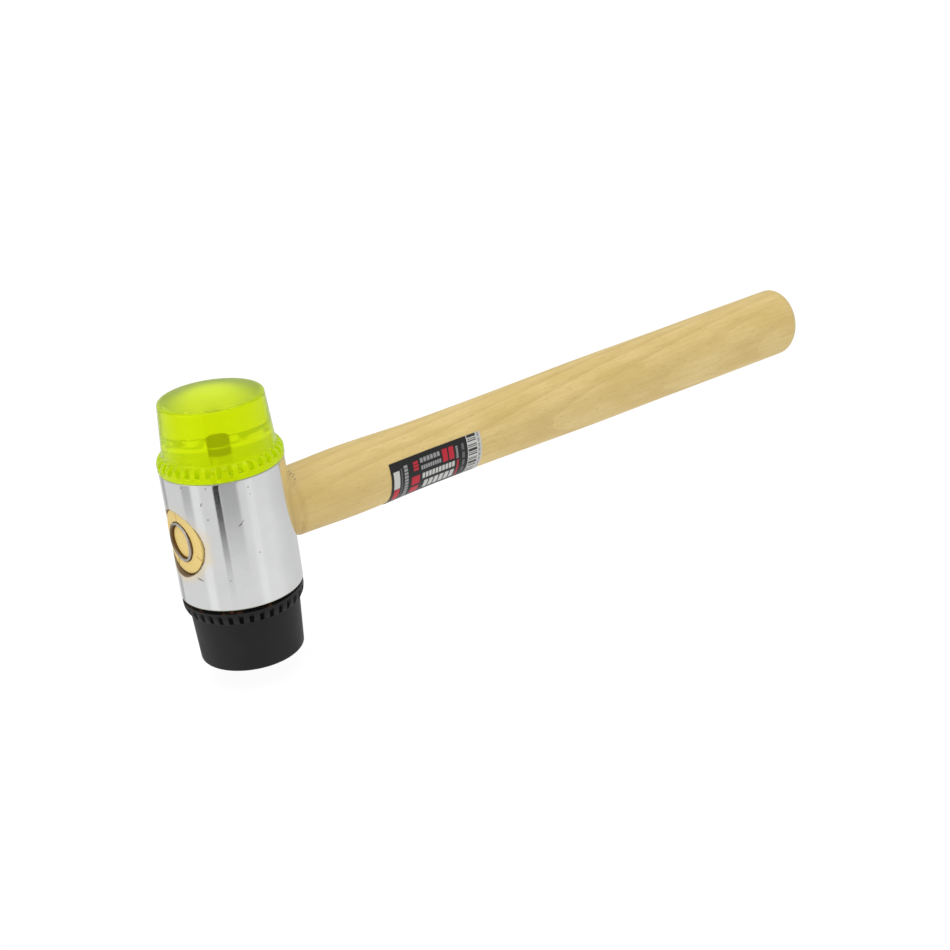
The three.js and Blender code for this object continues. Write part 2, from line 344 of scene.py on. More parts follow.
class FaceShape:
    """Sizes of a striking face, seated at height 0 and reaching up to its striking end."""

    def __init__(self, flange, shoulder, step, notch_floor, fillet, wall, taper, edge, dome, first_notch):
        self.flange = flange
        self.shoulder = shoulder
        self.neck = flange - step
        self.step = step
        self.notch_floor = flange - step + notch_floor
        self.fillet = fillet
        self.wall = wall
        self.end = flange - step - taper
        self.edge = edge
        self.dome = dome
        self.first_notch = first_notch
        self.fillet_turn = self.find_fillet_turn()

    def lower_profile(self, hole, hole_top):
        profile = [(hole, hole_top), (hole, 0.5 * hole_top), (hole, 0.3 * MM), (hole + 0.3 * MM, 0)]
        for share in (0.05, 0.35, 0.65, 0.97, 1):
            profile.append((lerp(hole + 0.3 * MM, self.flange - RIM_EDGE, share), 0))
        for turn in quarter_turns(4)[1:]:
            profile.append((self.flange - RIM_EDGE * (1 - math.sin(turn)), RIM_EDGE * (1 - math.cos(turn))))
        profile.append((self.flange, 0.6 * RIM_HEIGHT))
        profile.append((self.flange, RIM_HEIGHT - 0.1 * MM))
        return profile

    def on_shoulder(self, turn):
        rise = self.shoulder - RIM_HEIGHT
        return (self.neck + self.step * math.cos(turn), RIM_HEIGHT + rise * math.sin(turn))

    def off_shoulder(self, turn):
        """The middle of a fillet that touches the shoulder at this turn."""
        across = math.cos(turn) / self.step
        up = math.sin(turn) / (self.shoulder - RIM_HEIGHT)
        reach = self.fillet / math.hypot(across, up)
        radius, height = self.on_shoulder(turn)
        return (radius + across * reach, height + up * reach)

    def find_fillet_turn(self):
        """The turn at which a fillet on the shoulder also touches the wall, found by halving."""
        low, high = 0.0, math.pi / 2
        for _ in range(40):
            turn = (low + high) / 2
            if self.off_shoulder(turn)[0] > self.neck + self.fillet:
                low = turn
            else:
                high = turn
        return (low + high) / 2

    def on_fillet(self, inward):
        """A place on the fillet, from its foot on the shoulder at 0 to its top on the wall at 1."""
        middle = self.off_shoulder(self.fillet_turn)
        foot = self.on_shoulder(self.fillet_turn)
        foot_angle = math.atan2(foot[1] - middle[1], foot[0] - middle[0])
        angle = lerp(foot_angle, -math.pi, inward)
        return (middle[0] + self.fillet * math.cos(angle), middle[1] + self.fillet * math.sin(angle))

    def climb(self):
        """Closely spaced places from the rim over the shoulder and up the fillet to the wall."""
        places = [self.on_shoulder(self.fillet_turn * i / FINE_STEPS) for i in range(FINE_STEPS)]
        return places + [self.on_fillet(i / FINE_STEPS) for i in range(FINE_STEPS + 1)]

    def tooth_profile(self):
        """The climb as far as the floor of the notches reaches."""
        below = [place for place in self.climb() if place[0] >= self.notch_floor]
        return thinned(below, TOOTH_STEPS)

    def notch_profile(self):
        """In to the floor of a notch and up it, with as many places as a tooth has."""
        top = self.tooth_profile()[-1]
        inner = top[0]
        shares = (0.04, 0.3, 0.6, 0.88, 0.97)
        profile = [(lerp(self.flange, inner, share), RIM_HEIGHT) for share in shares]
        upward = TOOTH_STEPS - len(shares)
        profile += [(inner, lerp(RIM_HEIGHT, top[1], i / upward)) for i in range(1, upward + 1)]
        return profile

    def upper_profile(self):
        """The rest of the climb, the wall, its rounded edge and the striking end, and the end's height."""
        above = [place for place in self.climb() if place[0] < self.notch_floor]
        profile = thinned(above, TOOTH_STEPS // 2)
        fillet_top = profile[-1][1]
        for share in (0.08, 0.2, 0.35, 0.5, 0.65, 0.8, 0.92, 0.985):
            profile.append((lerp(self.neck, self.end, share), lerp(fillet_top, self.wall, share)))
        crown = self.end - self.edge
        lean = math.atan2(2 * self.dome, crown)
        steps = 8
        for i in range(steps + 1):
            turn = (math.pi / 2 - lean) * i / steps
            profile.append((crown + self.edge * math.cos(turn), self.wall + self.edge * math.sin(turn)))
        foot_radius, foot = profile[-1]
        rings = 20
        for i in range(1, rings):
            inward = i / rings
            rise = self.dome * (1 - (1 - inward) ** 2)
            profile.append((foot_radius * (1 - inward), foot + rise))
        return profile, foot + self.dome

    def mesh(self, name, hole, hole_top, place):
        """The face as one closed mesh; place turns a radius, angle and height into a point."""
        columns = notch_columns(self.flange)
        angles = [a + self.first_notch for a, share in columns]
        rings = []
        for radius, height in self.lower_profile(hole, hole_top):
            rings.append([place(radius, a, height) for a in angles])
        for tooth, notch in zip(self.tooth_profile(), self.notch_profile()):
            points = []
            for a, (_, share) in zip(angles, columns):
                radius = lerp(tooth[0], notch[0], share)
                points.append(place(radius, a, lerp(tooth[1], notch[1], share)))
            rings.append(points)
        upper, top = self.upper_profile()
        for radius, height in upper:
            rings.append([place(radius, a, height) for a in angles])
        return tube(name, rings, place(0, 0, hole_top), place(0, 0, top))


def clear_place(radius, angle, height):
    return (radius * math.cos(angle), radius * math.sin(angle), CLEAR_SEAT + height)


def rubber_place(radius, angle, height):
    return (radius * math.cos(angle), -radius * math.sin(angle), RUBBER_SEAT - height)


CLEAR_SHAPE = FaceShape(
    flange=(clear_high.x - clear_low.x) / 2,
    shoulder=5.8 * MM,
    step=2.7 * MM,
    notch_floor=0.4 * MM,
    fillet=1.6 * MM,
    wall=26.3 * MM,
    taper=1.4 * MM,
    edge=1.2 * MM,
    dome=2.8 * MM,
    first_notch=0,
)

RUBBER_SHAPE = FaceShape(
    flange=(rubber_high.y - rubber_low.y) / 2,
    shoulder=7.0 * MM,
    step=2.3 * MM,
    notch_floor=1.2 * MM,
    fillet=0.8 * MM,
    wall=28.3 * MM,
    taper=1.1 * MM,
    edge=0.7 * MM,
    dome=0,
    first_notch=math.radians(3),
)


# Studs

STUD_CHAMFER = 0.8 * MM
STUD_SIDES = 40
GROOVE_HEIGHT = 8.2 * MM
GROOVE_WIDTH = 0.7 * MM


def stud_mesh(name, place):
    """A stud along the same heights as the face that holds it: plain and grooved there, threaded below."""
    angles = even_angles(STUD_SIDES)
    length = STUD_ENGAGEMENT + STUD_EMBEDMENT
    steps = 10 * round(length / THREAD_PITCH)
    root = STUD_RADIUS - THREAD_DEPTH
    rings = []
    for i in range(steps + 1):
        height = lerp(-STUD_ENGAGEMENT, STUD_EMBEDMENT, i / steps)
        from_end = min(height + STUD_ENGAGEMENT, STUD_EMBEDMENT - height)
        limit = STUD_RADIUS - STUD_CHAMFER + from_end
        if abs(height - GROOVE_HEIGHT) < GROOVE_WIDTH / 2:
            limit = root
        plain = smoothstep(height, 0, THREAD_PITCH)
        points = []
        for a in angles:
            radius = root + THREAD_DEPTH * max(thread_height(a, height), plain)
            points.append(place(min(radius, limit), a, height))
        rings.append(points)
    return tube(name, rings, place(0, 0, -STUD_ENGAGEMENT), place(0, 0, STUD_EMBEDMENT))


# Handle

SHOULDER_FOOT = HEAD_RADIUS + 0.3 * MM
SHOULDER_TOP = SHOULDER_FOOT + 2.4 * MM
BUTT_HALF = 33.2 / 2 * MM
BUTT_ROUNDING = 9.0 * MM
GRIP_FLATNESS = 27.6 / 32.1
WAIST_PLACE = HEAD_RADIUS + 73 * MM
STATIONS = [
    (SHOULDER_TOP, TENON_RADIUS + 1.0 * MM),
    (HEAD_RADIUS + 33 * MM, 30.5 / 2 * MM),
    (WAIST_PLACE, 29.4 / 2 * MM),
    (HEAD_RADIUS + 185 * MM, 32.1 / 2 * MM),
    (HANDLE_END - BUTT_ROUNDING, BUTT_HALF),
]
HANDLE_COLUMNS = 120
HANDLE_RINGS = 150
CORE_RECESS = 0.8 * MM
CORE_CROWN = 0.5 * MM
TENON_CROWN = 1.9 * MM  # how much lower the tenon's end lies at its sides
WEDGE_CLEARANCE = 0.15 * MM

# Splits in the tenon's end: angle round it, inner and outer radius, and width
SPLITS = [
    (86, 8.2 * MM, 13.6 * MM, 0.4 * MM),
    (-62, 8.2 * MM, 13.6 * MM, 0.5 * MM),
    (-158, 10.6 * MM, 13.6 * MM, 0.45 * MM),
    (25, 8.2 * MM, 11.5 * MM, 0.25 * MM),
]
SPLIT_DEPTH = 2.2 * MM


def half_height(along):
    """Half the height of the handle's section, easing from each station to the next."""
    for (start, half), (end, next_half) in zip(STATIONS, STATIONS[1:]):
        if along <= end:
            return lerp(half, next_half, smoothstep(along, start, end))
    return BUTT_HALF


def flatness(along):
    return lerp(1, GRIP_FLATNESS, smoothstep(along, SHOULDER_TOP, WAIST_PLACE))


def handle_angles():
    """Even angles round the handle, with close ones at each split so that it can open between them."""
    split_angles = [math.radians(angle) % (2 * math.pi) for angle, *_ in SPLITS]
    clear = math.radians(2.6)
    angles = []
    for a in even_angles(HANDLE_COLUMNS):
        if all(abs(a - split) > clear for split in split_angles):
            angles.append(a)
    for split in split_angles:
        angles += [split + math.radians(offset) for offset in (-1.6, -0.8, 0, 0.8, 1.6)]
    return sorted(angles)


def split_depth(angle, radius):
    """How deep the tenon's end is split at a place."""
    deepest = 0.0
    for split, inner, outer, width in SPLITS:
        turn = (angle - math.radians(split) + math.pi) % (2 * math.pi) - math.pi
        beside = abs(turn) * radius / (width / 2)
        past_inner = smoothstep(radius, inner - 0.4 * MM, inner)
        past_outer = smoothstep(radius, outer, outer + 0.3 * MM)
        along = past_inner * (1 - past_outer)
        deepest = max(deepest, SPLIT_DEPTH * along * clamp01(1.15 - beside))
    return deepest


def end_drop(y):
    """How much lower the tenon's rounded end lies at a place across it than along its middle."""
    return TENON_CROWN * (y / TENON_RADIUS) ** 2


def tenon_profile():
    """Places along the handle and radii, from the middle of the tenon's end to the shoulder's foot."""
    core = WEDGE_RADIUS - WEDGE_WALL - WEDGE_CLEARANCE
    slot = WEDGE_RADIUS + WEDGE_CLEARANCE
    sunk = TENON_END + CORE_RECESS
    profile = [(sunk - CORE_CROWN * (1 - share**2), core * share) for share in (0.15, 0.4, 0.65, 0.85)]
    profile += [(sunk + 0.05 * MM, 0.95 * core), (sunk + 0.4 * MM, core)]
    profile += [(WEDGE_TIP + WEDGE_CLEARANCE, core), (WEDGE_TIP + WEDGE_CLEARANCE, slot)]
    profile += [(TENON_END + 0.5 * MM, slot), (TENON_END + 0.1 * MM, slot + 0.1 * MM)]
    chamfer = 1.0 * MM
    for share in (0.08, 0.25, 0.45, 0.65, 0.85, 1):
        profile.append((TENON_END, lerp(slot + 0.1 * MM, TENON_RADIUS - chamfer, share)))
    for turn in quarter_turns(4)[1:]:
        inward = chamfer * (1 - math.sin(turn))
        profile.append((TENON_END + chamfer * (1 - math.cos(turn)), TENON_RADIUS - inward))
    profile += [(lerp(TENON_END, SHOULDER_FOOT, share), TENON_RADIUS) for share in (0.3, 0.7, 0.99)]
    return profile


def handle_mesh():
    angles = handle_angles()
    rings = []
    for along, radius in tenon_profile():
        points = []
        for a in angles:
            y = radius * math.cos(a)
            x = max(along, TENON_END + end_drop(y)) if radius > WEDGE_RADIUS else along
            if along < TENON_END + 1.05 * MM:
                x += split_depth(a, radius)
            points.append((x, y, HEAD_CENTRE + radius * math.sin(a)))
        rings.append(points)
    for share in (0.05, 0.35, 0.7, 0.9):
        along = lerp(SHOULDER_FOOT, SHOULDER_TOP, share)
        half = lerp(TENON_RADIUS, STATIONS[0][1], math.sin(share * math.pi / 2))
        rings.append(section(along, half, angles))
    butt_start = HANDLE_END - BUTT_ROUNDING
    for i in range(HANDLE_RINGS + 1):
        along = lerp(SHOULDER_TOP, butt_start, i / HANDLE_RINGS)
        rings.append(section(along, half_height(along), angles))
    for turn in quarter_turns(24)[1:-1]:
        along = butt_start + BUTT_ROUNDING * math.sin(turn)
        rings.append(section(along, BUTT_HALF * math.cos(turn), angles))
    core_middle = (TENON_END + CORE_RECESS - CORE_CROWN, 0, HEAD_CENTRE)
    return tube("wooden_handle", rings, core_middle, (HANDLE_END, 0, HEAD_CENTRE))


def section(along, half, angles):
    wide = half * flatness(along)
    return [(along, wide * math.cos(a), HEAD_CENTRE + half * math.sin(a)) for a in angles]


# Ring wedge

WEDGE_SIDES = 96


def ring_wedge_mesh():
    """A slightly tapered tube with a rounded, hammered rim."""
    angles = even_angles(WEDGE_SIDES)
    inner = WEDGE_RADIUS - WEDGE_WALL
    rounding = 0.3 * MM
    tip_radius = WEDGE_RADIUS - 0.6 * MM
    profile = [(WEDGE_TIP, inner), (WEDGE_TIP, tip_radius)]
    for share in (0.02, 0.5, 0.96):
        profile.append((lerp(WEDGE_TIP, WEDGE_RIM, share), lerp(tip_radius, WEDGE_RADIUS, share)))
    for turn in quarter_turns(4):
        outward = WEDGE_RADIUS - rounding * (1 - math.cos(turn))
        profile.append((WEDGE_RIM + rounding * (1 - math.sin(turn)), outward))
    for turn in quarter_turns(4):
        inward = inner + rounding * (1 - math.sin(turn))
        profile.append((WEDGE_RIM + rounding * (1 - math.cos(turn)), inward))
    profile += [(lerp(WEDGE_RIM, WEDGE_TIP, share), inner) for share in (0.05, 0.5, 0.98)]
    rings = []
    for along, radius in profile:
        points = []
        for a in angles:
            dent = 0.12 * MM * math.sin(3 * a + 0.7) * smoothstep(along, WEDGE_RIM + 3 * MM, WEDGE_RIM)
            points.append((along + max(dent, 0), radius * math.cos(a), HEAD_CENTRE + radius * math.sin(a)))
        rings.append(points)
    return tube("ring_wedge_fine", rings)


# Label

LABEL_LENGTH = 49.0 * MM
LABEL_WIDTH = 30.0 * MM
LABEL_THICKNESS = 0.18 * MM
LABEL_LIFT = 0.04 * MM
LABEL_PLACE = HEAD_RADIUS + 69 * MM
LABEL_ANGLE = math.radians(-36)
LABEL_COLUMNS = 72
LABEL_ROWS = 48


def on_label(across, around, lift):
    """A place on the sticker: along and around its flat sheet from its middle, bent onto the handle."""
    along = LABEL_PLACE + across
    angle = LABEL_ANGLE + around / half_height(LABEL_PLACE)
    high = half_height(along) + lift
    wide = half_height(along) * flatness(along) + lift
    return (along, -wide * math.cos(angle), HEAD_CENTRE + high * math.sin(angle))


def label_mesh():
    """A thin bent sheet with a top, a bottom and an edge, and flat coordinates for its print."""
    mesh = bpy.data.meshes.new("handle_sticker")
    points = []
    flat = []
    for lift in (LABEL_LIFT, LABEL_LIFT + LABEL_THICKNESS):
        for j in range(LABEL_ROWS + 1):
            for i in range(LABEL_COLUMNS + 1):
                u = i / LABEL_COLUMNS
                v = j / LABEL_ROWS
                points.append(on_label((u - 0.5) * LABEL_LENGTH, (v - 0.5) * LABEL_WIDTH, lift))
                flat.append((u, v))
    width = LABEL_COLUMNS + 1
    layer = width * (LABEL_ROWS + 1)
    faces = []
    for j in range(LABEL_ROWS):
        for i in range(LABEL_COLUMNS):
            corner = j * width + i
            faces.append((corner, corner + width, corner + width + 1, corner + 1))
            above = corner + layer
            faces.append((above, above + 1, above + width + 1, above + width))
    edge = [i for i in range(width)]
    edge += [j * width + LABEL_COLUMNS for j in range(1, LABEL_ROWS + 1)]
    edge += [LABEL_ROWS * width + i for i in reversed(range(LABEL_COLUMNS))]
    edge += [j * width for j in reversed(range(1, LABEL_ROWS))]
    for first, second in zip(edge, edge[1:] + edge[:1]):
        faces.append((first, second, second + layer, first + layer))
    mesh.from_pydata(points, [], faces)
    uv = mesh.uv_layers.new(name="print")
    for loop in mesh.loops:
        uv.data[loop.index].uv = flat[loop.vertex_index]
    mesh.shade_smooth()
    mesh.set_sharp_from_angle(angle=math.radians(40))
    return mesh


# Finishes


class Finish:
    """The nodes of a material or of the world, with short calls for the ones used here."""

    def __init__(self, owner):
        owner.use_nodes = True
        self.owner = owner
        self.tree = owner.node_tree

    def fill(self, socket, value):
        if isinstance(value, bpy.types.NodeSocket):
            self.tree.links.new(value, socket)
        else:
            socket.default_value = value

    def add(self, kind, inputs=None, **settings):
        node = self.tree.nodes.new(kind)
        for name, value in settings.items():
            setattr(node, name, value)
        for name, value in (inputs or {}).items():
            self.fill(node.inputs[name], value)
        return node

    def surface(self, **inputs):
        """Sets the shader's sockets, named with underscores for spaces, and gives the material."""
        shader = self.tree.nodes["Principled BSDF"]
        for name, value in inputs.items():
            socket = name.replace("_", " ").title().replace("Ior", "IOR")
            self.fill(shader.inputs[socket], value)
        return self.owner

    def place(self):
        """Where a point lies on the object at rest, in metres."""
        return self.add("ShaderNodeTexCoord").outputs["Object"]

    def flat(self):
        return self.add("ShaderNodeTexCoord").outputs["UV"]

    def split(self, vector):
        node = self.add("ShaderNodeSeparateXYZ", {"Vector": vector})
        return node.outputs["X"], node.outputs["Y"], node.outputs["Z"]

    def join(self, x, y, z):
        return self.add("ShaderNodeCombineXYZ", {"X": x, "Y": y, "Z": z}).outputs["Vector"]

    def math(self, operation, first, second=0.0):
        node = self.add("ShaderNodeMath", operation=operation)
        for socket, value in zip(node.inputs, (first, second)):
            self.fill(socket, value)
        return node.outputs["Value"]

    def sum(self, first, second):
        return self.math("ADD", first, second)

    def less(self, first, second):
        return self.math("SUBTRACT", first, second)

    def times(self, first, *others):
        for other in others:
            first = self.math("MULTIPLY", first, other)
        return first

    def distance(self, first, second):
        """Length of the longest side of a right triangle with these two sides."""
        return self.math("SQRT", self.sum(self.times(first, first), self.times(second, second)))

    def stretch(self, vector, scale):
        node = self.add("ShaderNodeVectorMath", {0: vector, 1: scale}, operation="MULTIPLY")
        return node.outputs["Vector"]

    def noise(self, vector, scale, detail=3.0, roughness=0.5):
        inputs = {"Vector": vector, "Scale": scale, "Detail": detail, "Roughness": roughness}
        return self.add("ShaderNodeTexNoise", inputs).outputs["Fac"]

    def wander(self, vector, scale, reach):
        """A noise that strays from 0 by at most about half of its reach."""
        return self.times(self.less(self.noise(vector, scale), 0.5), reach)

    def smooth(self, value, low, high, start=0.0, end=1.0):
        """Eases from start to end as value goes from low to high."""
        inputs = {"Value": value, "From Min": low, "From Max": high, "To Min": start, "To Max": end}
        node = self.add("ShaderNodeMapRange", inputs, interpolation_type="SMOOTHSTEP")
        return node.outputs["Result"]

    def within(self, value, low, high, soft):
        """1 where value lies between low and high, with soft edges."""
        rise = self.smooth(value, low - soft, low + soft)
        fall = self.smooth(value, high - soft, high + soft, 1.0, 0.0)
        return self.times(rise, fall)

    def spot(self, sheet, middle, size, slope):
        """1 within a small ellipse on a flat sheet of coordinates, with a soft edge."""
        inputs = {"Vector": sheet, "Location": (*middle, 0), "Rotation": (0, 0, slope), "Scale": (*size, 1)}
        placed = self.add("ShaderNodeMapping", inputs, vector_type="TEXTURE").outputs["Vector"]
        length = self.add("ShaderNodeVectorMath", {0: placed}, operation="LENGTH").outputs["Value"]
        return self.smooth(length, 0.5, 1.4, 1.0, 0.0)

    def mix(self, share, first, second):
        node = self.add("ShaderNodeMix", data_type="RGBA")
        for socket, value in zip((node.inputs[0], node.inputs[6], node.inputs[7]), (share, first, second)):
            self.fill(socket, value)
        return node.outputs[2]

    def bump(self, height, strength, distance):
        inputs = {"Height": height, "Strength": strength, "Distance": distance}
        return self.add("ShaderNodeBump", inputs).outputs["Normal"]


def new_finish(name):
    return Finish(bpy.data.materials.new(name))


def grey(level):
    return (level, level, level, 1)


# Marks on the chrome: degrees round the head, height from its middle, half length and half width, all in
# millimetres, slope in degrees, and strength
CHROME_MARKS = [
    (-141.0, 19.0, 0.9, 0.25, 65, 0.75),
    (-137.0, 12.6, 0.4, 0.3, 0, 0.75),
    (-109.0, 9.0, 1.0, 0.25, 35, 0.8),
    (-106.6, 10.1, 0.9, 0.16, 42, 0.6),
    (-96.8, 23.4, 0.35, 0.3, 0, 0.5),
    (-96.1, 20.4, 0.3, 0.25, 0, 0.45),
    (-95.7, -4.5, 0.4, 0.3, 0, 0.5),
    (-125.9, -14.0, 0.7, 0.35, 20, 0.22),
    (-155.5, -13.5, 1.5, 0.4, -20, 0.65),
    (-134.4, 25.6, 0.5, 0.3, 60, 0.5),
    (-159.0, 25.6, 0.5, 0.3, 20, 0.5),
]
CHROME = (0.905, 0.91, 0.91, 1)
CLOUDED_CHROME = (0.94, 0.945, 0.945, 1)
STAIN_AND_WOOD_REFLECTION = (0.80, 0.63, 0.34, 1)
SATIN_END = (0.60, 0.62, 0.50, 1)
NICK = (0.05, 0.045, 0.04, 1)
GAP_SHADE_BROWN = (0.13, 0.07, 0.025, 1)


def chrome_finish():
    """Polished chrome with a few nicks and satin ends, a soft stain round the eye that is partly a painted
    reflection of the wood, and a painted brown shade line within it.
    """
    finish = new_finish("polished_chrome")
    place = finish.place()
    x, y, z = finish.split(place)
    up = finish.less(z, HEAD_CENTRE)
    from_eye = finish.distance(y, up)
    on_front = finish.smooth(x, -14 * MM, -17 * MM)
    strayed = finish.sum(from_eye, finish.wander(place, 170, 5 * MM))
    low_right = finish.smooth(finish.sum(y, up), 14 * MM, -14 * MM, 0.35, 1.0)
    # Round the eye: partly a real stain, partly a painted reflection of the wooden handle, stronger toward
    # the low right.
    stain_and_reflection_halo = finish.smooth(strayed, EYE_RADIUS + 4.2 * MM, EYE_RADIUS + 0.3 * MM)
    stain_and_reflection_halo = finish.times(stain_and_reflection_halo, on_front, low_right)
    # Painted shade: a thin dark brown line on the eye's lip, where the gap round the wood lies, stronger
    # toward the low right.
    line_reach = finish.sum(from_eye, finish.wander(place, 500, 0.7 * MM))
    line = finish.smooth(line_reach, EYE_RADIUS + 0.65 * MM, EYE_RADIUS + 0.25 * MM)
    line = finish.times(low_right, 0.9, line)
    sheet = finish.join(finish.times(finish.math("ARCTAN2", y, x), HEAD_RADIUS), up, 0.0)
    marks = 0.0
    for azimuth, height, half_length, half_width, slope, strength in CHROME_MARKS:
        middle = (math.radians(azimuth) * HEAD_RADIUS, height * MM)
        mark = finish.spot(sheet, middle, (half_length * MM, half_width * MM), math.radians(slope))
        marks = finish.math("MAXIMUM", marks, finish.times(mark, strength))
    clouds = finish.smooth(finish.noise(place, 110, 4, 0.6), 0.35, 0.7)
    colour = finish.mix(clouds, CHROME, CLOUDED_CHROME)
    colour = finish.mix(finish.times(stain_and_reflection_halo, 0.62), colour, STAIN_AND_WOOD_REFLECTION)
    colour = finish.mix(line, colour, GAP_SHADE_BROWN)
    ends = finish.smooth(finish.math("ABSOLUTE", up), SIDE_HALF - 0.1 * MM, SIDE_HALF + 0.2 * MM)
    colour = finish.mix(ends, colour, SATIN_END)
    worn = finish.sum(finish.times(stain_and_reflection_halo, 0.22), finish.times(finish.math("MAXIMUM", line, ends), 0.4))
    haze = finish.smooth(finish.noise(place, 900, 3, 0.6), 0.3, 0.75, 0.045, 0.085)
    return finish.surface(
        base_color=finish.mix(marks, colour, NICK),
        metallic=finish.less(1.0, finish.times(finish.math("MAXIMUM", line, finish.times(stain_and_reflection_halo, 0.5)), 0.8)),
        roughness=finish.sum(haze, worn),
        normal=finish.bump(finish.noise(place, 260, 2, 0.5), 0.012, 0.2 * MM),
    )


CLEAR_TINT = (0.72, 0.88, 0.003, 1)
SHADED_TINT = (0.38, 0.49, 0.020, 1)
MIRROR_TINT = (0.80, 0.95, 0.05, 1)
PAINTED_GLOW_TINT = (0.72, 0.92, 0.0, 1)
PALE_PLACE = (-3.5 * MM, -7.2 * MM)  # middle of the paler part of the striking end


def clear_plastic_finish():
    """Clear tinted plastic, slightly cloudy, glossy on its wall and satin on its striking end, with painted
    light on its flange and the middle of its end and painted shade toward the end's rim.
    """
    finish = new_finish("clear_yellow_plastic")
    place = finish.place()
    x, y, z = finish.split(place)
    height = finish.less(z, CLEAR_SEAT)
    struck = finish.smooth(height, CLEAR_SHAPE.wall + 0.8 * MM, CLEAR_SHAPE.wall + 1.6 * MM)
    middle = finish.smooth(finish.distance(x, y), 14 * MM, 4 * MM)
    flange = finish.smooth(height, CLEAR_SHAPE.shoulder + 2 * MM, CLEAR_SHAPE.shoulder - 1 * MM)
    # Painted light: the plastic gives off faint light all over, more on its flange and the middle of its
    # striking end.
    painted_glow = finish.sum(finish.times(flange, 0.06), finish.times(struck, middle, 0.09))
    # Painted shade: the striking end darkens toward its rim, away from a paler middle moved toward the
    # front.
    from_pale = finish.distance(finish.less(x, PALE_PLACE[0]), finish.less(y, PALE_PLACE[1]))
    shaded = finish.times(struck, finish.smooth(from_pale, 8 * MM, 22 * MM))
    gloss = finish.smooth(finish.noise(place, 700, 3, 0.6), 0.4, 0.8, 0.02, 0.07)
    satin = finish.smooth(finish.noise(place, 260, 3, 0.6), 0.3, 0.7, 0.31, 0.39)
    return finish.surface(
        base_color=finish.mix(shaded, CLEAR_TINT, SHADED_TINT),
        roughness=finish.sum(gloss, finish.times(struck, satin)),
        ior=1.52,
        specular_tint=MIRROR_TINT,
        transmission_weight=finish.smooth(struck, 0.0, 1.0, 0.60, 0.40),
        emission_color=PAINTED_GLOW_TINT,
        emission_strength=finish.sum(painted_glow, 0.010),
        normal=finish.bump(finish.noise(place, 120, 2, 0.4), 0.04, 0.4 * MM),
    )


def stud_finish():
    """Turned steel, darkened on the part that shows through the plastic, with its groove left bright."""
    finish = new_finish("stud_steel")
    place = finish.place()
    height = finish.less(finish.split(place)[2], CLEAR_SEAT)
    groove_low = GROOVE_HEIGHT - GROOVE_WIDTH / 2
    groove = finish.within(height, groove_low, groove_low + GROOVE_WIDTH, 0.1 * MM)
    dark = finish.times(finish.smooth(height, 4.4 * MM, 5.2 * MM), finish.less(1.0, groove))
    turned = finish.noise(finish.stretch(place, (1.0, 1.0, 9.0)), 1600, 2, 0.6)
    return finish.surface(
        base_color=finish.mix(dark, grey(0.80), grey(0.12)),
        metallic=0.9,
        roughness=finish.smooth(turned, 0.3, 0.7, 0.26, 0.42),
        normal=finish.bump(turned, 0.08, 0.1 * MM),
    )


WORN_STEEL = (0.36, 0.30, 0.23, 1)
BROWNED_RIM = (0.16, 0.09, 0.035, 1)
RUSTED_STEEL = (0.150, 0.075, 0.018, 1)


def wedge_finish():
    """Worn bright steel on the ring's rim, brown further in."""
    finish = new_finish("wedge_steel")
    place = finish.place()
    x, y, _ = finish.split(place)
    strayed = finish.sum(x, finish.wander(place, 600, 0.4 * MM))
    deep = finish.smooth(strayed, WEDGE_RIM + 0.25 * MM, WEDGE_RIM + 0.8 * MM)
    blotch = finish.smooth(finish.noise(place, 700, 4, 0.6), 0.45, 0.75, 0.0, 0.5)
    rim = finish.mix(blotch, grey(0.55), WORN_STEEL)
    rim = finish.mix(finish.smooth(y, 0.0, 7 * MM, 0.0, 0.8), rim, BROWNED_RIM)
    return finish.surface(
        base_color=finish.mix(deep, rim, RUSTED_STEEL),
        metallic=finish.smooth(deep, 0.0, 1.0, 0.9, 0.1),
        roughness=finish.smooth(blotch, 0.0, 0.5, 0.36, 0.52),
        normal=finish.bump(finish.noise(place, 1500, 3, 0.6), 0.15, 0.1 * MM),
    )


RUBBER_BLACK = grey(0.0075)
BLOOMED_RUBBER = (0.0105, 0.0105, 0.0115, 1)
RUST = (0.075, 0.030, 0.012, 1)


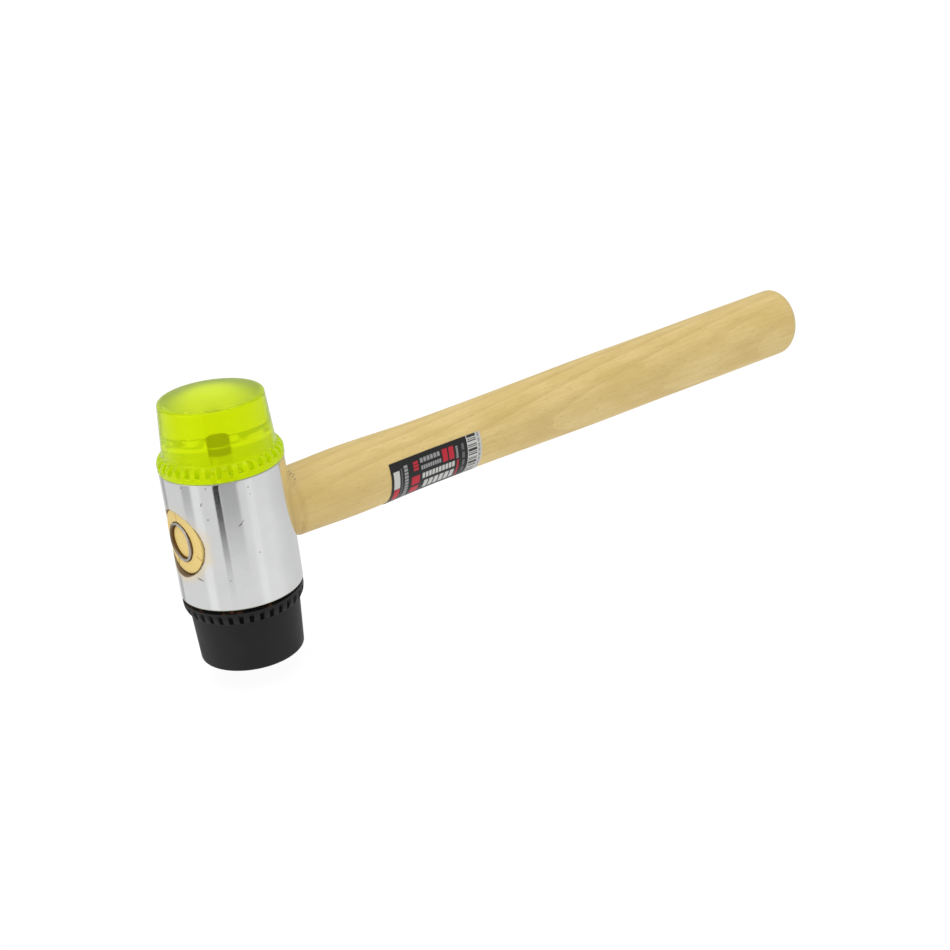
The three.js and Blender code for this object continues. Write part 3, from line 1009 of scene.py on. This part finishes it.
def rubber_finish():
    """Matt moulded rubber with painted shade in its notches and a painted shadow where it meets the head,
    with a trace of rust there.
    """
    finish = new_finish("black_rubber")
    place = finish.place()
    x, y, z = finish.split(place)
    depth = finish.less(RUBBER_SEAT, z)
    turn = finish.math("ARCTAN2", finish.times(y, -1.0), x)
    step = 2 * math.pi / NOTCH_COUNT
    from_tooth = finish.less(turn, RUBBER_SHAPE.first_notch - step / 2)
    phase = finish.math("FRACT", finish.times(from_tooth, 1 / step))
    across = finish.times(finish.math("ABSOLUTE", finish.less(phase, 0.5)), step * RUBBER_SHAPE.flange)
    # Painted shade: the notches are darkened nearly to black, for the shade inside them.
    notch = finish.smooth(across, NOTCH_WIDTH / 2 + 0.05 * MM, NOTCH_WIDTH / 2 - 0.3 * MM)
    low_down = finish.within(depth, RIM_HEIGHT + 1.3 * MM, RUBBER_SHAPE.shoulder, 0.5 * MM)
    notch = finish.times(notch, low_down)
    # Painted shadow: a near-black band at the seat, wider toward the front left where the gap to the head
    # shows; rust lies along the same band.
    toward_gap = finish.smooth(finish.sum(x, finish.times(y, 0.6)), 12 * MM, -22 * MM, 0.5 * MM, 1.5 * MM)
    gap_shadow_and_rust_band = finish.smooth(finish.less(depth, toward_gap), 0.2 * MM, -0.2 * MM)
    rust = finish.times(gap_shadow_and_rust_band, finish.smooth(finish.noise(place, 260, 3, 0.6), 0.52, 0.66))
    bloom = finish.smooth(finish.noise(place, 130, 5, 0.6), 0.35, 0.75)
    grain = finish.noise(place, 2600, 3, 0.6)
    colour = finish.mix(bloom, RUBBER_BLACK, BLOOMED_RUBBER)
    colour = finish.mix(finish.math("MAXIMUM", finish.times(notch, 0.85), gap_shadow_and_rust_band), colour, grey(0.002))
    return finish.surface(
        base_color=finish.mix(finish.times(rust, 0.6), colour, RUST),
        roughness=finish.smooth(bloom, 0.0, 1.0, 0.46, 0.56),
        specular_ior_level=finish.smooth(finish.math("MAXIMUM", notch, gap_shadow_and_rust_band), 0.0, 1.0, 0.29, 0.03),
        normal=finish.bump(grain, 0.10, 0.1 * MM),
    )


# Wood: its growth rings arch on the side of the handle at this angle up from the horizontal, with the
# arch of one ring at this place along it
ARCH_ANGLE = math.radians(-13)
ARCH_PLACE = 225 * MM
ARCH_LEAN = 0.072
RING_SPACING = 5.0 * MM
HEART_DISTANCE = 60 * MM

# Dark pores at the shoulder: place along the handle in millimetres, and degrees up from the horizontal
SHOULDER_PORES = [(27.9, 79), (27.7, 72), (28.4, 67.7), (27.3, 64), (27.4, 57.5), (27.2, 70.5)]


PALE_WOOD = (0.750, 0.575, 0.235, 1)
WARM_WOOD = (0.675, 0.498, 0.172, 1)
STREAK = (0.590, 0.415, 0.140, 1)
LATE_WOOD = (0.520, 0.340, 0.100, 1)
FLECK = (0.40, 0.25, 0.08, 1)
WOOD_SHADED_BY_HEAD = (0.600, 0.415, 0.125, 1)
PORE = (0.12, 0.09, 0.06, 1)
END_GRAIN = (0.80, 0.59, 0.190, 1)
END_SPECK = (0.62, 0.40, 0.11, 1)


def growth(finish, place):
    """How late in its ring the wood lies, from 0 to 1, with a sharp fall to the next ring."""
    x, y, z = finish.split(place)
    long = finish.stretch(place, (0.10, 1.0, 1.0))
    from_heart_y = finish.less(y, HEART_DISTANCE * math.cos(ARCH_ANGLE))
    from_heart_z = finish.less(z, HEAD_CENTRE - HEART_DISTANCE * math.sin(ARCH_ANGLE))
    from_heart = finish.distance(from_heart_y, from_heart_z)
    leaning = finish.sum(from_heart, finish.times(x, ARCH_LEAN))
    arch = HEART_DISTANCE + half_height(ARCH_PLACE) * flatness(ARCH_PLACE) + ARCH_PLACE * ARCH_LEAN
    strayed = finish.sum(finish.less(leaning, arch), finish.wander(long, 55, 2.6 * MM))
    return finish.math("FRACT", finish.times(strayed, 1 / RING_SPACING))


def end_grain(finish, place, tone):
    """Warmer wood on the tenon's end, with painted brown shade in the gaps beside the ring wedge and where
    it meets the head.
    """
    x, y, z = finish.split(place)
    up = finish.less(z, HEAD_CENTRE)
    from_axis = finish.sum(finish.distance(y, up), finish.wander(place, 500, 0.5 * MM))
    across = finish.times(y, 1 / TENON_RADIUS)
    beyond = finish.less(finish.less(x, TENON_END), finish.times(across, across, TENON_CROWN))
    at_end = finish.smooth(beyond, 2.2 * MM, 1.6 * MM)
    specks = finish.smooth(finish.noise(place, 1100, 3, 0.6), 0.52, 0.75, 0.0, 0.35)
    end = finish.mix(specks, END_GRAIN, END_SPECK)
    low_right = finish.smooth(finish.sum(y, up), 14 * MM, -14 * MM, 0.45, 1.0)
    # Painted shade: the tenon's wall in the eye's gap, stronger toward the low right, and the wood in the
    # gap round the ring wedge are darkened brown.
    edge = finish.smooth(from_axis, TENON_RADIUS - 0.4 * MM, TENON_RADIUS - 0.1 * MM)
    edge = finish.times(edge, finish.smooth(beyond, 0.9 * MM, 1.3 * MM), low_right)
    by_ring = finish.within(from_axis, WEDGE_RADIUS - 0.1 * MM, WEDGE_RADIUS + 0.4 * MM, 0.2 * MM)
    gap_shade_mask = finish.math("MAXIMUM", edge, finish.times(by_ring, 0.75))
    end = finish.mix(finish.times(gap_shade_mask, 0.85), end, GAP_SHADE_BROWN)
    return finish.mix(at_end, tone, end)


def wood_finish():
    """Pale hardwood: faint arched rings, soft blotches, and short fine flecks along the handle, with
    painted shade darkening it toward the head.
    """
    finish = new_finish("pale_hardwood")
    place = finish.place()
    x, y, z = finish.split(place)
    ring = finish.smooth(growth(finish, place), 0.45, 1.0)
    uneven = finish.noise(finish.stretch(place, (0.3, 1.0, 1.0)), 40, 2, 0.5)
    faint = finish.smooth(uneven, 0.3, 0.7, 0.16, 0.42)
    blotch = finish.noise(finish.stretch(place, (0.35, 1.0, 1.0)), 110, 3, 0.55)
    streak = finish.noise(finish.stretch(place, (0.05, 1.0, 1.0)), 900, 3, 0.6)
    fleck = finish.noise(finish.stretch(place, (0.13, 1.0, 1.0)), 2300, 2, 0.5)
    flecks = finish.smooth(fleck, 0.58, 0.74)
    tone = finish.mix(finish.smooth(blotch, 0.3, 0.7), PALE_WOOD, WARM_WOOD)
    tone = finish.mix(finish.smooth(streak, 0.3, 0.75, 0.0, 0.42), tone, STREAK)
    toward_butt = finish.smooth(x, HANDLE_END - 45 * MM, HANDLE_END - 20 * MM, 1.0, 0.3)
    tone = finish.mix(finish.times(ring, faint, toward_butt), tone, LATE_WOOD)
    tone = finish.mix(finish.times(flecks, 0.42), tone, FLECK)
    # Painted shade: the handle darkens over the part within about 80 mm of the head's middle.
    painted_shade_near_head = finish.smooth(x, 80 * MM, 35 * MM, 0.0, 0.32)
    tone = finish.mix(painted_shade_near_head, tone, WOOD_SHADED_BY_HEAD)
    angle = finish.math("ARCTAN2", finish.less(z, HEAD_CENTRE), finish.times(y, -1.0))
    sheet = finish.join(x, finish.times(angle, TENON_RADIUS), 0.0)
    for along, degrees in SHOULDER_PORES:
        middle = (along * MM, math.radians(degrees) * TENON_RADIUS)
        pore = finish.spot(sheet, middle, (0.5 * MM, 0.28 * MM), math.radians(35))
        tone = finish.mix(finish.times(pore, 0.7), tone, PORE)
    relief = finish.less(finish.times(streak, 0.4), finish.times(flecks, 0.4))
    return finish.surface(
        base_color=end_grain(finish, place, tone),
        roughness=finish.smooth(streak, 0.3, 0.75, 0.42, 0.54),
        specular_ior_level=0.60,
        normal=finish.bump(relief, 0.10, 0.1 * MM),
    )


# Plain bars printed on the sticker: start and end along it, start and end around it, how many dashes the
# bar is cut into along and around, and ink. Everything is a share of the sticker's length or width.
RED = (0.50, 0.012, 0.03, 1)
WHITE = (0.56, 0.56, 0.54, 1)
PALE_GREY = (0.30, 0.30, 0.30, 1)
DARK_GREY = (0.12, 0.12, 0.12, 1)
PRINTED_BARS = [
    (0.025, 0.090, 0.60, 0.87, 1, 1, WHITE),
    (0.030, 0.090, 0.36, 0.59, 1, 1, RED),
    (0.106, 0.122, 0.36, 0.89, 1, 17, DARK_GREY),
    (0.142, 0.182, 0.30, 0.915, 1, 12, PALE_GREY),
    (0.245, 0.300, 0.77, 0.915, 1, 3, RED),
    (0.220, 0.310, 0.34, 0.715, 1, 2, RED),
    (0.360, 0.705, 0.38, 0.55, 6, 1, WHITE),
    (0.335, 0.700, 0.605, 0.695, 10, 1, WHITE),
    (0.325, 0.550, 0.755, 0.815, 9, 1, PALE_GREY),
    (0.320, 0.545, 0.860, 0.925, 6, 1, PALE_GREY),
    (0.560, 0.700, 0.74, 0.93, 2, 1, RED),
    (0.716, 0.738, 0.72, 0.91, 1, 6, PALE_GREY),
    (0.720, 0.742, 0.36, 0.70, 1, 8, RED),
    (0.780, 0.808, 0.42, 0.93, 1, 4, DARK_GREY),
]
STRIP_START = 0.844
TICK_RUN = (0.852, 0.948)
TICK_COUNT = 24
EDGE_RUN = (0.962, 0.984)
EDGE_DASHES = 13


def dashes(finish, value, low, high, count):
    """1 on each of count dashes between low and high."""
    phase = finish.math("FRACT", finish.times(finish.less(value, low), count / (high - low)))
    return finish.within(phase, 0.12, 0.88, 0.08)


def label_finish():
    """A black film sticker with plain bars, and a pale strip of ticks at its far end."""
    finish = new_finish("printed_sticker")
    u, v, _ = finish.split(finish.flat())
    place = finish.place()
    wear = finish.noise(place, 1300, 4, 0.6)
    colour = finish.mix(finish.smooth(wear, 0.4, 0.8), grey(0.010), grey(0.019))
    for start, end, low, high, along, around, ink in PRINTED_BARS:
        inside = finish.times(finish.within(u, start, end, 0.004), finish.within(v, low, high, 0.007))
        if along > 1:
            inside = finish.times(inside, dashes(finish, u, start, end, along))
        if around > 1:
            inside = finish.times(inside, dashes(finish, v, low, high, around))
        colour = finish.mix(inside, colour, ink)
    uneven = finish.sum(v, finish.times(finish.math("SINE", finish.times(v, 61.0)), 0.012))
    phase = finish.math("FRACT", finish.times(uneven, TICK_COUNT))
    ticks = finish.times(finish.within(phase, 0.25, 0.72, 0.08), finish.within(u, *TICK_RUN, 0.004))
    figures = finish.times(finish.within(u, *EDGE_RUN, 0.004), dashes(finish, v, 0.0, 1.0, EDGE_DASHES))
    paper = finish.mix(ticks, WHITE, grey(0.035))
    paper = finish.mix(finish.times(figures, 0.6), paper, DARK_GREY)
    strip = finish.smooth(u, STRIP_START - 0.003, STRIP_START + 0.003)
    return finish.surface(
        base_color=finish.mix(strip, colour, paper),
        roughness=finish.smooth(wear, 0.35, 0.75, 0.30, 0.44),
        specular_ior_level=0.35,
        normal=finish.bump(finish.noise(place, 350, 2, 0.5), 0.05, 0.2 * MM),
    )


# Studio


def floor():
    """A wide pale floor, low enough for the rubber face to be unscrewed above it."""
    size = 6.0
    drop = FACE_TRAVEL + 0.5 * MM
    mesh = bpy.data.meshes.new("floor")
    corners = [(-size, -size, -drop), (size, -size, -drop), (size, size, -drop), (-size, size, -drop)]
    mesh.from_pydata(corners, [], [(0, 1, 2, 3)])
    finish = new_finish("pale_floor")
    finish.surface(
        base_color=grey(0.10),
        roughness=0.9,
        specular_ior_level=0.0,
        emission_color=grey(1),
        emission_strength=0.94,
    )
    made = bpy.data.objects.new("floor", mesh)
    made.data.materials.append(finish.owner)
    made.visible_glossy = False
    bpy.context.scene.collection.objects.link(made)
    made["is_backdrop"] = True


# Soft bands that the chrome mirrors, by the angle round the studio from the camera: middle, half width,
# feather, brightness, and the elevations over which the band comes in (none for a full one)
REFLECTED = 0.685
BANDS = [
    (-59, 4, 9, 0.115, None),
    (-18.8, 3.8, 3.2, -0.60, (-25.2, -21.6)),
    (3, 12, 8, -0.27, (-24.7, -21.2)),
    (-78, 6, 8, -0.19, (-22.8, -21.2)),
    (-146, 4, 6, -0.25, None),
    (42, 3, 8, 0.05, None),
    (58, 12, 26, 0.05, None),
    (150, 25, 45, -0.055, None),
    (-60, 180, 1, -0.04, (-24.0, -21.2)),
]
AMBIENT = 0.66
ABOVE = 0.60


def studio_world():
    """White for the camera, even soft light for matt surfaces, and upright bands for mirrored rays."""
    world = bpy.data.worlds.new("studio")
    bpy.context.scene.world = world
    finish = Finish(world)
    direction = finish.add("ShaderNodeTexCoord").outputs["Generated"]
    x, y, z = finish.split(direction)
    azimuth = finish.math("DEGREES", finish.math("ARCTAN2", y, x))
    elevation = finish.math("DEGREES", finish.math("ARCSINE", z))
    level = REFLECTED
    for middle, half, feather, gain, rise in BANDS:
        from_middle = finish.less(azimuth, CAMERA_AZIMUTH + middle)
        turn = finish.add("ShaderNodeMath", operation="WRAP")
        for socket, value in zip(turn.inputs, (from_middle, 180.0, -180.0)):
            finish.fill(socket, value)
        away = finish.math("ABSOLUTE", turn.outputs["Value"])
        band = finish.smooth(away, half, half + feather, gain, 0.0)
        if rise:
            band = finish.times(band, finish.smooth(elevation, *rise))
        level = finish.sum(level, band)
    upward = finish.smooth(elevation, -12, 10)
    mirrored = finish.mix(upward, finish.join(level, level, level), grey(ABOVE))
    ray = finish.add("ShaderNodeLightPath")
    seen = finish.mix(ray.outputs["Is Glossy Ray"], grey(AMBIENT), mirrored)
    seen = finish.mix(ray.outputs["Is Camera Ray"], seen, grey(1.0))
    finish.fill(finish.tree.nodes["Background"].inputs["Color"], seen)


def outward_from_head(azimuth, elevation):
    """Direction from the head, by degrees round it and up."""
    turn, rise = math.radians(azimuth), math.radians(elevation)
    return Vector((math.cos(turn) * math.cos(rise), math.sin(turn) * math.cos(rise), math.sin(rise)))


def lamp(name, azimuth, elevation, distance, size, power):
    """A square lamp aimed at the middle of the head."""
    light = bpy.data.lights.new(name, "AREA")
    light.size = size
    light.energy = power
    made = bpy.data.objects.new(name, light)
    outward = outward_from_head(azimuth, elevation)
    made.location = Vector((0, 0, HEAD_CENTRE)) + outward * distance
    made.rotation_euler = outward.to_track_quat("Z", "Y").to_euler()
    bpy.context.scene.collection.objects.link(made)


def camera():
    """A camera that sees the head at its pixel of the photograph, at the photograph's angle and roll."""
    lens = bpy.data.cameras.new("camera")
    lens.lens = CAMERA_LENS
    lens.sensor_width = SENSOR_WIDTH
    roll = math.radians(CAMERA_ROLL)
    outward = outward_from_head(CAMERA_AZIMUTH, CAMERA_ELEVATION)
    forward = -outward
    level_right = forward.cross(Vector((0, 0, 1))).normalized()
    level_down = forward.cross(level_right)
    right = level_right * math.cos(roll) - level_down * math.sin(roll)
    down = level_right * math.sin(roll) + level_down * math.cos(roll)
    focal = CAMERA_LENS / SENSOR_WIDTH * IMAGE_SIZE
    middle = IMAGE_SIZE / 2
    aim = Vector(((HEAD_PIXEL[0] - middle) / focal, (HEAD_PIXEL[1] - middle) / focal, 1))
    tilt = Vector((0, 0, 1)).rotation_difference(aim).to_matrix()
    right, down, forward = tilt @ Matrix((right, down, forward))
    made = bpy.data.objects.new("camera", lens)
    turn = Matrix((right, -down, -forward)).transposed().to_4x4()
    made.matrix_world = Matrix.Translation(Vector((0, 0, HEAD_CENTRE)) + outward * CAMERA_DISTANCE) @ turn
    bpy.context.scene.collection.objects.link(made)
    bpy.context.scene.camera = made


# Assembly

camera()
studio_world()
floor()
lamp("top_lamp", azimuth=-100, elevation=80, distance=1.2, size=1.2, power=7.5)
lamp("left_lamp", azimuth=180, elevation=14, distance=1.3, size=0.8, power=3)
bpy.context.scene.view_settings.view_transform = "Standard"

stud_steel = stud_finish()
stud_hole = STUD_RADIUS - THREAD_DEPTH - 0.05 * MM
stud_hole_top = STUD_EMBEDMENT - STUD_CHAMFER - 0.2 * MM

clear_mesh = CLEAR_SHAPE.mesh("clear_striking_face", stud_hole, stud_hole_top, clear_place)
clear_screw = stud_mesh("clear_face_screw", clear_place)
rubber_mesh = RUBBER_SHAPE.mesh("rubber_striking_face", stud_hole, stud_hole_top, rubber_place)
rubber_screw = stud_mesh("rubber_face_screw", rubber_place)

head = piece(head_mesh(), chrome_finish(), "head_and_handle", "head_body")
clear_face = piece(clear_mesh, clear_plastic_finish(), "clear_face", "clear_face")
piece(clear_screw, stud_steel, "clear_stud", "clear_face_stud")
rubber_face = piece(rubber_mesh, rubber_finish(), "rubber_face", "rubber_face")
piece(rubber_screw, stud_steel, "rubber_stud", "rubber_face_stud")
handle = piece(handle_mesh(), wood_finish(), "head_and_handle", "handle")
wedge = piece(ring_wedge_mesh(), wedge_finish(), "head_and_handle", "ring_wedge")
piece(label_mesh(), label_finish(), "head_and_handle", "handle_label")

for made in (head, clear_face, rubber_face, handle, wedge):
    even_normals(made)

visual_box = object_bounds()
boxes = {"cad": cad_box, "visual": visual_box}
{name: [list(corner) for corner in box] for name, box in boxes.items()}
